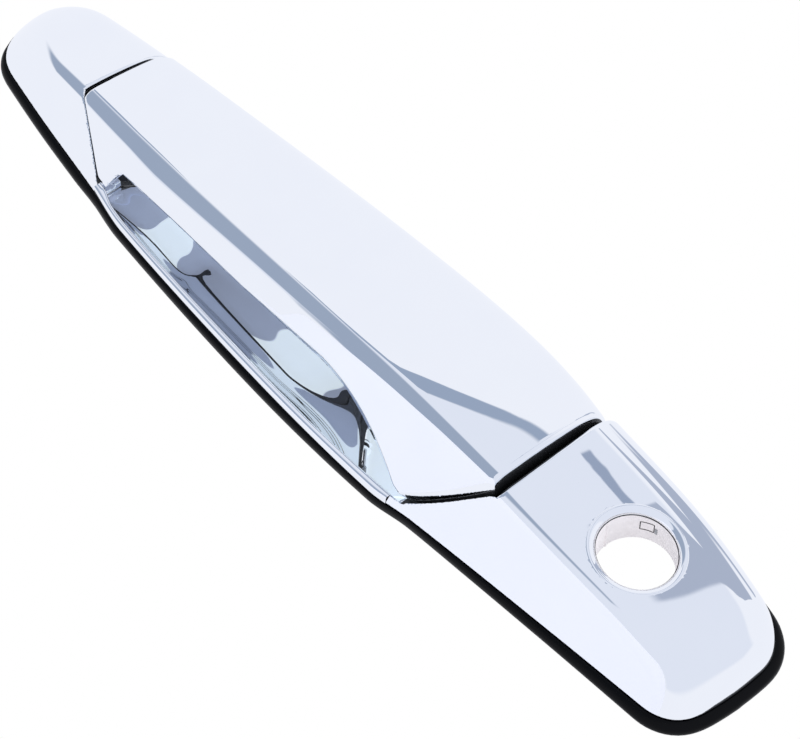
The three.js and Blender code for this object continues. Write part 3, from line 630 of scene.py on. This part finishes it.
RIM_Z = float(base_crease_z(LOCK_X)) - 0.8
LEDGE_ENDS = [-82.4, 51.9]
LEDGE_STEP = 1.2
LEDGE_Y = -26.0
RIM_WIDE = 1.95
LIP_DEPTH = 1.5
SHADOW_RING_THICK = 0.2
LINE_THICK = 0.13
HOLE_STEPS = 180
RIB_TURNS = (182, 52)
RIB_R = 0.3
WINDOW_TURNS = (132, 112)
WINDOW_LOW, WINDOW_HIGH = RIM_Z - 7.3, RIM_Z - 4.0
BOSS_ROOF = 0.9
CUP_CLEAR = 0.15
GAP_ROUND = 0.5
# How far below the face the pocket's walls turn black, as painted shade in the gap.
GAP_SHADE_DEPTH = 1.2
BACK_BLACK = 1.7


def box_field(x, y, z, x0, x1, y0, y1, z0, z1):
    """An upright box, negative inside."""
    plan = np.maximum(np.maximum(x0 - x, x - x1), np.maximum(y0 - y, y - y1))
    return np.maximum(plan, np.maximum(z0 - z, z - z1))


def face_z(x, y):
    """Height of the outer face round the lock hole."""
    across = y - base_crease_y(x)
    return base_crease_z(x) - TOP_LEAN * across - TOP_CROWN * across * across


def bezel_field(x, y, z):
    """The hollow housing, with its pocket, lock hole, cup opening, stud bosses, hinge slots and post."""
    outer = bezel_form(x, y, z)
    pocket = pocket_outline(x, y)
    hollow = np.maximum(outer + WALL, WALL - pocket)
    body = np.maximum(smooth_max(outer, FLANGE - z, 0.5), -hollow)
    roof = np.maximum(outer + BOSS_ROOF, -z)
    for sx, sy in STUDS:
        body = np.minimum(body, np.maximum(np.hypot(x - sx, y - sy) - BOSS_R, roof))
    ring = np.hypot(x - LOCK_X, y - LOCK_Y)
    by_gap = smooth_step((y - CREASE_Y + 1.5) / 3)
    edge_round = GAP_ROUND + by_gap * (GAP_ROUND + 0.7 * smooth_step((x - 40) / 20))
    by_ledge = (x > LEDGE_ENDS[0] + 0.6) & (x < LEDGE_ENDS[1] - 0.6) & (y < LEDGE_Y)
    body = smooth_max(body, -np.maximum(pocket, np.where(by_ledge, FLOOR - LEDGE_STEP, FLOOR) - z), edge_round)
    body = np.maximum(body, LOCK_R + RIM_WIDE - ring)
    body = smooth_max(body, -np.maximum(cup_outline(x, y) - CUP_CLEAR, z - SLOT_TOP), 0.35)
    for ear in HINGE_EARS:
        body = np.maximum(body, -box_field(x, y, z, ear - EAR_SLOT_HALF, ear + EAR_SLOT_HALF, *EAR_SLOT_Y, 0, SLOT_TOP))
    body = np.maximum(body, -box_field(x, y, z, *ARM_SLOT_X, *ARM_SLOT_Y, 0, SLOT_TOP))
    post = np.maximum(np.hypot(x - POST_X, y - POST_Y) - POST_R, np.maximum(FLANGE - z, z - POST_TOP))
    return np.minimum(body, post)


def bezel_bare_back_and_shade(x, y, z):
    """Above 0 on the bare back, and as painted shade where the pocket goes deep: its floor, and its walls deeper than a
    set depth below the face.
    """
    wall = np.minimum(-GAP_SHADE_DEPTH - bezel_form(x, y, z), z - FLOOR - 0.3)
    floor = np.minimum(FLOOR + 0.6 - z, np.maximum(y + 24, np.maximum(x - 55.5, -82.5 - x)))
    back = np.minimum(-BACK_BLACK - bezel_form(x, y, z), pocket_outline(x, y) - 1.2)
    return np.maximum(np.minimum(0.3 - pocket_outline(x, y), np.maximum(wall, floor)), back)


bezel = net_object(
    "bezel_shell", bezel_field,
    [steps([-154.5, 0.8], [-108, 0.4], [-100, 0.7], [-78, 0.9], [48, 0.55], [72, 0.4], [84, 0.7], [97, 0.55],
           [125, 0.75], [154.5, 0]),
     steps([-38.5, 0.45], [-15, 0.6], [31, 0]), steps([-1.5, 0.55], [29.5, 0])],
    [SHELL_CHROME], mask=bezel_bare_back_and_shade)
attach(bezel, "base")
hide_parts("bezel")


def sleeve_field(x, y, z):
    """The moulded sleeve inside the lock hole, with two fine ribs."""
    ring = np.hypot(x - LOCK_X, y - LOCK_Y)
    body = np.maximum(np.maximum(LOCK_R - ring, ring - LOCK_R - LOCK_WALL + 0.3),
                      np.maximum(LOCK_DEPTH - z, z - face_z(x, y) + LIP_DEPTH + 0.1))
    for turn in RIB_TURNS:
        a = math.radians(turn)
        rib = np.hypot(x - LOCK_X - LOCK_R * math.cos(a), y - LOCK_Y - LOCK_R * math.sin(a)) - RIB_R
        body = np.minimum(body, np.maximum(rib, np.maximum(LOCK_DEPTH - z, z - face_z(x, y) + 2.6)))
    return body


sleeve = net_object(
    "lock_sleeve", sleeve_field,
    [steps([LOCK_X - 13, 0.22], [LOCK_X + 13, 0]), steps([-13, 0.22], [13, 0]), steps([9.9, 0.3], [24, 0])],
    [SLEEVE_GREY])
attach(sleeve, "base")
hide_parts("lock_sleeve")


def hole_turns():
    """Cosines and sines of the steps round the lock hole."""
    around = np.linspace(0, 2 * np.pi, HOLE_STEPS, endpoint=False)
    return np.cos(around), np.sin(around)


def make_rim():
    """The rolled edge of the lock hole, from the face over into the sleeve."""
    c, s = hole_turns()
    bottom = face_z(LOCK_X + LOCK_R * c, LOCK_Y + LOCK_R * s) - LIP_DEPTH
    outer = LOCK_R + RIM_WIDE
    top = face_z(LOCK_X + outer * c, LOCK_Y + outer * s) + 0.1
    rows = [(outer + 0.5, top - 0.3), (outer + 0.42, top - 0.12), (outer + 0.3, top - 0.03), (outer + 0.15, top)]
    for turn in np.linspace(0, np.pi / 2, 14):
        rows.append((outer - RIM_WIDE * np.sin(turn), bottom + (top - bottom) * np.cos(turn)))
    rows += [(LOCK_R, bottom - 0.3), (LOCK_R + 0.4, bottom - 0.3), (outer + 0.5, top - 0.7)]
    grid = np.stack([np.stack([LOCK_X + r * c, LOCK_Y + r * s, z], axis=1) for r, z in rows])
    faces = grid_faces(len(rows), HOLE_STEPS, closed_rows=True, closed_columns=True)
    return make_object("lock_rim", grid.reshape(-1, 3), faces, [CHROME])


rim = make_rim()
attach(rim, "base")
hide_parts("lock_ring")


def make_shadow_ring():
    """A thin black ring round the hole: painted shade for the shadow gap between the rim and the sleeve."""
    c, s = hole_turns()
    z = face_z(LOCK_X + LOCK_R * c, LOCK_Y + LOCK_R * s) - LIP_DEPTH
    section = np.linspace(0, 2 * np.pi, 10, endpoint=False)[:, None]
    r = LOCK_R + 0.05 + SHADOW_RING_THICK * np.cos(section)
    grid = np.stack([LOCK_X + r * c, LOCK_Y + r * s, z + SHADOW_RING_THICK * np.sin(section)], axis=-1)
    faces = grid_faces(len(section), HOLE_STEPS, closed_rows=True, closed_columns=True)
    return make_object("lock_shadow_ring", grid.reshape(-1, 3), faces[:, ::-1], [BLACK])


shadow_ring = make_shadow_ring()
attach(shadow_ring, "base")


def make_window_shade_line():
    """A fine black line round the clip's window: painted shade for the groove at its edge."""
    left, right = np.radians(WINDOW_TURNS)
    corners = np.array([[left, WINDOW_HIGH], [right, WINDOW_HIGH], [right, WINDOW_LOW], [left, WINDOW_LOW]])
    share = np.linspace(0, 1, 12, endpoint=False)[:, None]
    ahead = np.roll(corners, -1, axis=0)
    angle, z = np.concatenate([a + (b - a) * share for a, b in zip(corners, ahead)]).T
    section = np.linspace(0, 2 * np.pi, 8, endpoint=False)
    centre = np.stack([LOCK_X + LOCK_R * np.cos(angle), LOCK_Y + LOCK_R * np.sin(angle), z], axis=1)
    inwards = np.stack([-np.cos(angle), -np.sin(angle), np.zeros_like(z)], axis=1)
    along_line = np.roll(centre, -1, axis=0) - np.roll(centre, 1, axis=0)
    along_line /= np.linalg.norm(along_line, axis=1)[:, None]
    side = np.cross(along_line, inwards)
    grid = np.stack([centre + LINE_THICK * (np.cos(t) * side + np.sin(t) * inwards) for t in section])
    faces = grid_faces(len(section), len(centre), closed_rows=True, closed_columns=True)
    return make_object("window_shade_line", grid.reshape(-1, 3), faces, [BLACK])


window_shade_line = make_window_shade_line()
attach(window_shade_line, "base")


# ---- Ledge ----

def make_ledge():
    """The narrow strip under the finger opening: upright outer wall, flat top, and a drop into the cup."""
    x = np.linspace(LEDGE_ENDS[0], LEDGE_ENDS[1], 240)
    low, inner = base_low(x), np.maximum(cup_low(x) - 0.05, base_low(x) + 1.2)
    profile = [(low + 0.9, 2.95), (low, 2.95), (low + 0.03, 3.3), (low + 0.3, 5.1), (low + 0.36, 5.35),
               (low + 0.48, 5.52), (low + 0.68, 5.6), (inner - 0.35, 5.6), (inner - 0.15, 5.54), (inner - 0.04, 5.4),
               (inner, 5.1), (inner, 2.95)]
    grid = np.stack([np.stack([x, y, np.full_like(x, z)], axis=1) for y, z in profile])
    faces = grid_faces(len(profile), len(x), closed_rows=True)
    return make_object("ledge_strip", grid.reshape(-1, 3), faces, [CHROME])


ledge = make_ledge()
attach(ledge, "base")


# ---- Paddle ----

BACK_Z, BACK_SLOPE = 12.8, 0.065
PLATING_REACH = 0.9
# How far below the face the paddle's end walls turn black, as painted shade in the gap.
END_SHADE_DEPTH = 1.6


def leg_edge(x):
    """The paddle's lower edge: the grip in the middle, and a leg at either end."""
    share = smooth_step((x - 18) / 36) + smooth_step((-77 - x) / 4)
    return GRIP_Y + (LEG_Y - GRIP_Y) * share


def back_plane(x):
    """Height of the flat back of the grip."""
    return BACK_Z + BACK_SLOPE * (x + 77)


def facet_height(x, y):
    """Height of the paddle's lower face at a place."""
    rise = paddle_crease_z(x) - FLANGE
    return paddle_crease_z(x) + (y - CREASE_Y) * rise / (CREASE_Y - base_low(x))


def paddle_bottom(x, y):
    """Height where the shell ends at the back: high in the grip, down to the pocket's floor at the legs."""
    edge = np.minimum(back_plane(x) - 0.2, facet_height(x, leg_edge(x)) - 1.4)
    middle = smooth_step((x + 83) / 2) * (1 - smooth_step((x - 59) / 2))
    low = LEG_END + np.maximum(edge - LEG_END, 0) * middle
    return low + (TOP_WALL_EDGE - low) * smooth_step((y + 8) / 10)


def paddle_field(x, y, z):
    """The plated shell of the paddle, open at the back."""
    outer = paddle_form(x, y, z)
    outline = paddle_outline(x, y)
    upper = smooth_step((y - CREASE_Y + 1.5) / 3)
    rim_round = 0.4 + upper * (0.4 + 0.75 * smooth_step((x - 20) / 30))
    whole = smooth_max(outer, outline, rim_round)
    hollow = np.maximum(outer, outline) + WALL
    body = smooth_max(whole, -hollow, 0.6)
    return smooth_max(body, paddle_bottom(x, y) - z, 0.6)


def paddle_inside(middle):
    """1 for the faces of the hollow back."""
    x, y, z = middle.T
    return np.maximum(paddle_form(x, y, z), paddle_outline(x, y)) < -PLATING_REACH


def paddle_end_shade(x, y, z):
    """Above 0 on the end walls deeper than a set depth below the face: painted shade in the gaps at the paddle's ends.
    """
    ends = np.maximum(x - 52, -80 - x)
    return np.minimum(np.minimum(ends, paddle_outline(x, y) + 0.4), -END_SHADE_DEPTH - paddle_form(x, y, z))


paddle = net_object(
    "paddle_skin", paddle_field,
    [steps([-106, 0.4], [-99, 0.6], [-72, 0.9], [12, 0.6], [72, 0.4], [79, 0]),
     steps([-31.5, 0.45], [-15, 0.65], [28.5, 0]), steps([4, 0.55], [32.5, 0])],
    [SHELL_CHROME, INSIDE], paddle_inside, paddle_end_shade)
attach(paddle, "paddle")
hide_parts("paddle_shell")


# ---- Finger cup ----

CUP_LEFT_RAMP, CUP_RIGHT_RAMP = 26.0, 62.0
CUP_FULLNESS = 3.2
CUP_STEPS, CUP_ACROSS = 150, 48


def cup_grid(sink):
    """The scoop's surface and its flat border, lowered by sink."""
    t = np.linspace(0, 1, CUP_STEPS)[:, None]
    s = np.linspace(0, 1, CUP_ACROSS)[None, :]
    x, low, high = cup_at(t)
    lengthwise = smooth_step((x - CUP_ENDS[0]) / CUP_LEFT_RAMP) * smooth_step((CUP_ENDS[1] - x) / CUP_RIGHT_RAMP)
    crosswise = 1 - np.abs(2 * s - 1) ** CUP_FULLNESS
    y = low + (high - low) * s
    z = CUP_RIM - sink - CUP_DEPTH * lengthwise * crosswise
    x, y, z = np.broadcast_arrays(x, y, z)
    front = np.stack([x, y, z], axis=-1)
    level = np.full(CUP_STEPS, CUP_RIM - sink)
    lap_low = np.stack([x[:, 0], low[:, 0] - LEDGE_LAP, level], axis=-1)[:, None]
    lap_high = np.stack([x[:, 0], high[:, 0] + CUP_FLANGE, level], axis=-1)[:, None]
    grid = np.concatenate([lap_low, front, lap_high], axis=1)
    ends = [grid[:1] - [CUP_FLANGE, 0, 0], grid, grid[-1:] + [CUP_FLANGE, 0, 0]]
    return np.concatenate(ends, axis=0)


def make_cup():
    """The chromed scoop, with a bare black back."""
    front = cup_grid(0)
    back = cup_grid(CUP_WALL)
    rows, columns = front.shape[:2]
    faces = grid_faces(rows, columns)
    under = faces[:, ::-1] + rows * columns
    between = np.arange(1, rows - 1) * columns
    rim = np.concatenate([np.arange(columns), between + columns - 1, (rows - 1) * columns + np.arange(columns)[::-1],
                          between[::-1]])
    after = np.roll(rim, -1)
    side = np.stack([rim, rim + rows * columns, after + rows * columns, after], axis=1)
    points = np.concatenate([front.reshape(-1, 3), back.reshape(-1, 3)])
    behind = np.repeat([-1.0, 1.0], rows * columns)
    return make_object("cup_scoop", points, np.concatenate([faces, under, side[:, ::-1]]), [CUP_CHROME],
                       mask=lambda *at: behind)


cup = make_cup()
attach(cup, "base")
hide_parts("finger_cup")


# ---- Seal ----

def flange_outline(per_side, per_tip):
    """The bezel's edge at the flange, all the way round."""
    spine = HALF_LENGTH - 24

    def middle(x):
        return (base_low(x) + base_high(x)) / 2

    centre = np.concatenate([np.linspace(-spine, spine, per_side), np.full(per_tip, spine),
                             np.linspace(spine, -spine, per_side), np.full(per_tip, -spine)])
    round_right = -np.pi / 2 + np.pi * np.arange(1, per_tip + 1) / (per_tip + 1)
    angle = np.concatenate([np.full(per_side, -np.pi / 2), round_right, np.full(per_side, np.pi / 2),
                            round_right + np.pi])
    near = np.zeros(len(centre))
    far = np.full(len(centre), 60.0)
    y0 = middle(centre)
    for _ in range(40):
        r = (near + far) / 2
        outside = bezel_form(centre + r * np.cos(angle), y0 + r * np.sin(angle), FLANGE) > 0
        far = np.where(outside, r, far)
        near = np.where(outside, near, r)
    return np.stack([centre + near * np.cos(angle), y0 + near * np.sin(angle)], axis=1)


def make_seal():
    """The rubber gasket under the flange, which stands out past it by seal_low or seal_high."""
    outline = flange_outline(230, 60)
    ahead = np.roll(outline, -1, axis=0) - outline
    length = np.hypot(*ahead.T)[:, None]
    tangent = ahead / length + np.roll(ahead / length, 1, axis=0)
    tangent /= np.hypot(*tangent.T)[:, None]
    normal = np.stack([tangent[:, 1], -tangent[:, 0]], axis=1)
    x, y = outline.T
    by_cup = smooth_step((x + 86) / 6) * smooth_step((62 - x) / 6) * (y < 0)
    inner = (-(SEAL_IN - 2.4 * by_cup))[:, None]
    reach = np.where(y < (base_low(x) + base_high(x)) / 2, seal_low(x), seal_high(x))[:, None]
    profile = [(None, 0.0), (0.72, 0.0), (0.9, 0.12), (1, 0.45), (1.0, 1.0), (0.95, 1.6),
               (0.8, 2.2), (0.5, 2.65), (0.25, SEAL_HEIGHT), (0.0, SEAL_HEIGHT), (None, SEAL_HEIGHT)]
    rings = []
    for share, height in profile:
        d = inner if share is None else reach * share
        rings.append(np.concatenate([outline + normal * d, np.full((len(outline), 1), height)], axis=1))
    grid = np.stack(rings)
    faces = grid_faces(len(profile), len(outline), closed_rows=True, closed_columns=True)
    return make_object("seal_ring", grid.reshape(-1, 3), faces[:, ::-1], [RUBBER])


seal = make_seal()
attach(seal, "base")
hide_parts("seal")


# ---- Room, light and camera ----

def make_floor():
    """A pale round floor well below the handle."""
    rings, spokes, radius, drop = 12, 96, 0.62, 0.9
    r = np.linspace(0, 1, rings + 1)[1:] * radius
    angle = np.linspace(0, 2 * np.pi, spokes, endpoint=False)
    points = [(0, 0, -drop)] + [(a * math.cos(b), a * math.sin(b), -drop) for a in r for b in angle]
    faces = [(0, 1 + i, 1 + (i + 1) % spokes) for i in range(spokes)]
    for k in range(rings - 1):
        for i in range(spokes):
            j = (i + 1) % spokes
            a, b = 1 + k * spokes, 1 + (k + 1) * spokes
            faces.append((a + i, b + i, b + j, a + j))
    mesh = bpy.data.meshes.new("floor")
    mesh.from_pydata(points, [], faces)
    material, tree, shader = new_material("pale_floor", (0.92, 0.94, 0.95), 0.7, 0.0)
    vary(tree, shader, noise(tree, 3, 3), (0.85, 0.85, 0.89), (0.88, 0.88, 0.92))
    shader.inputs["Emission Color"].default_value = (0.93, 0.95, 1.0, 1)
    shader.inputs["Emission Strength"].default_value = 0.1
    mesh.materials.append(material)
    made = bpy.data.objects.new("floor", mesh)
    bpy.context.scene.collection.objects.link(made)


def make_world():
    """A white studio tent with grey-blue panels in front, and plain white behind the handle for the camera."""
    world = bpy.data.worlds.new("studio")
    bpy.context.scene.world = world
    world.use_nodes = True
    tree = world.node_tree
    tree.nodes.clear()
    Sum.tree = tree
    x, y, z = place_parts(tree, "Generated")

    # Directions in degrees: az from straight ahead of the door towards +X, el above level.
    degrees = 180 / math.pi
    az = Sum.math("ARCTAN2", x, y * -1.0) * degrees
    el = Sum.math("ARCSINE", z) * degrees

    white = (0.925, 0.94, 1.0)
    pale_grey = (0.80, 0.835, 0.93)
    panel = (0.345, 0.41, 0.53)
    line = (0.33, 0.40, 0.53)
    dim = (0.43, 0.48, 0.60)

    # A bright tent, and beyond a curved line a slightly darker one.
    def curve(corner, at, slope, bend):
        """A line at az = corner above el = at, which swings away below it and runs straight from bend down."""
        fall = Sum.math("MAXIMUM", Sum.math("MINIMUM", (el * -1.0) + at, at - bend), 0.0)
        steep = fall * fall * -0.065
        straight = Sum.math("MAXIMUM", (el * -1.0) + bend, 0.0) * -slope
        return steep + straight + corner

    upper_line = az - curve(-31.4, 36.0, 0.3, 25.3)
    lower_line = az - curve(-30.5, 33.0, 0.42, 26.0)
    window = lower_line.rise(-0.3, 0.3) * el.between(-60, 40, 3) * (1 - az.rise(88, 100))
    colour = mix_colour(tree, white, pale_grey, window)

    # The grey panel low in front.
    left_edge = az + (Sum.math("MAXIMUM", el * -1.0 - 45, 0.0) * 1.7)
    right_edge = az + (Sum.math("MAXIMUM", el * -1.0, 0.0) * 0.35)
    front = left_edge.rise(-61, -57) * (1 - right_edge.rise(-5, -1)) * (1 - el.rise(2, 11))
    colour = mix_colour(tree, colour, panel, front)

    # A thin frame between the two tents.
    thin = upper_line.rise(-0.15, 0.15) * (1 - lower_line.rise(-0.2, 0.2)) * el.between(10, 38, 0.3)
    colour = mix_colour(tree, colour, line, thin)

    # The dim strip overhead, the haze and the long panel above it, and the frame's ragged foot beside it.
    ragged = tree.nodes.new("ShaderNodeTexNoise")
    ragged.inputs["Scale"].default_value = 28
    ragged.inputs["Detail"].default_value = 3
    place = tree.nodes.new("ShaderNodeTexCoord")
    tree.links.new(place.outputs["Generated"], ragged.inputs["Vector"])
    waves = Sum(ragged.outputs["Fac"]) - 0.5
    lean = Sum.math("MINIMUM", Sum.math("MAXIMUM", el - 33.5, 0.0), 8.0) * 0.04
    strip = (az - lean).rise(-9.75, -9.6) * (1 - az.rise(-6.93, -6.77)) * el.between(29.5, 62, 0.4)
    haze = az.between(-19, -6.85, 0.2) * el.between(47, 66, 0.6)
    foot = az.between(-12.3, -9.6, 0.06) * (el + waves * 0.8).between(31.75, 32.3, 0.06)
    over = Sum.math("MINIMUM", Sum.math("MAXIMUM", (az * -1.0 - 20) * 0.25, 0.0), 10.0)
    top = (el - over).rise(62.5, 64) * (1 - el.rise(79, 82)) * az.between(-152, -8, 1)
    colour = mix_colour(tree, colour, dim, haze)
    colour = mix_colour(tree, colour, dim, Sum.math("MAXIMUM", strip, top))
    colour = mix_colour(tree, colour, (0.33, 0.39, 0.52), foot)

    light_path = tree.nodes.new("ShaderNodeLightPath")
    seen = mix_colour(tree, colour, (1.0, 1.0, 1.0), Sum(light_path.outputs["Is Camera Ray"]))
    background = tree.nodes.new("ShaderNodeBackground")
    output = tree.nodes.new("ShaderNodeOutputWorld")
    tree.links.new(seen, background.inputs["Color"])
    tree.links.new(background.outputs[0], output.inputs["Surface"])


def make_lights():
    """Two soft lamps that light the plastic and rubber. The plating does not mirror them."""
    for name, place, size, watts in (("key", (0.3, -0.9, 0.9), 0.9, 4.0), ("rim", (-0.7, 0.5, 0.8), 0.7, 2.0)):
        light = bpy.data.lights.new(name, "AREA")
        light.shape = "DISK"
        light.size = size
        light.energy = watts
        lamp = bpy.data.objects.new(name, light)
        lamp.location = place
        lamp.rotation_euler = (-Vector(place)).to_track_quat("-Z", "Y").to_euler()
        lamp.visible_glossy = False
        bpy.context.scene.collection.objects.link(lamp)


# The photograph's camera: its place in lying millimetres, its turns in degrees, and its lens.
CAMERA_PLACE = [319.592, -238.704, 531.450]
CAMERA_TURNS = [51.683, 54.236, -0.741]
CAMERA_LENS = 108.733


def make_camera():
    """The photograph's view: from in front, below and to the right, with the handle running down to the right."""
    turn, rise, roll = (math.radians(angle) for angle in CAMERA_TURNS)
    back = np.array([math.sin(turn) * math.cos(rise), -math.cos(turn) * math.cos(rise), math.sin(rise)])
    right = np.array([math.cos(turn), math.sin(turn), 0.0])
    up = np.cross(back, right)
    across = math.cos(roll) * right + math.sin(roll) * up
    upright = -math.sin(roll) * right + math.cos(roll) * up
    axes = to_row(np.array([across, upright, back]))
    place = to_row([CAMERA_PLACE])[0] * MM
    data = bpy.data.cameras.new("camera")
    data.sensor_width = 36
    data.sensor_fit = "HORIZONTAL"
    data.lens = CAMERA_LENS
    data.clip_start = 0.01
    made = bpy.data.objects.new("camera", data)
    rotation = Matrix([[axes[c][r] for c in range(3)] for r in range(3)])
    made.matrix_world = Matrix.Translation(Vector(place)) @ rotation.to_4x4()
    bpy.context.scene.collection.objects.link(made)
    bpy.context.scene.camera = made


make_floor()
make_world()
make_lights()
make_camera()
bpy.context.scene.view_settings.view_transform = "Standard"
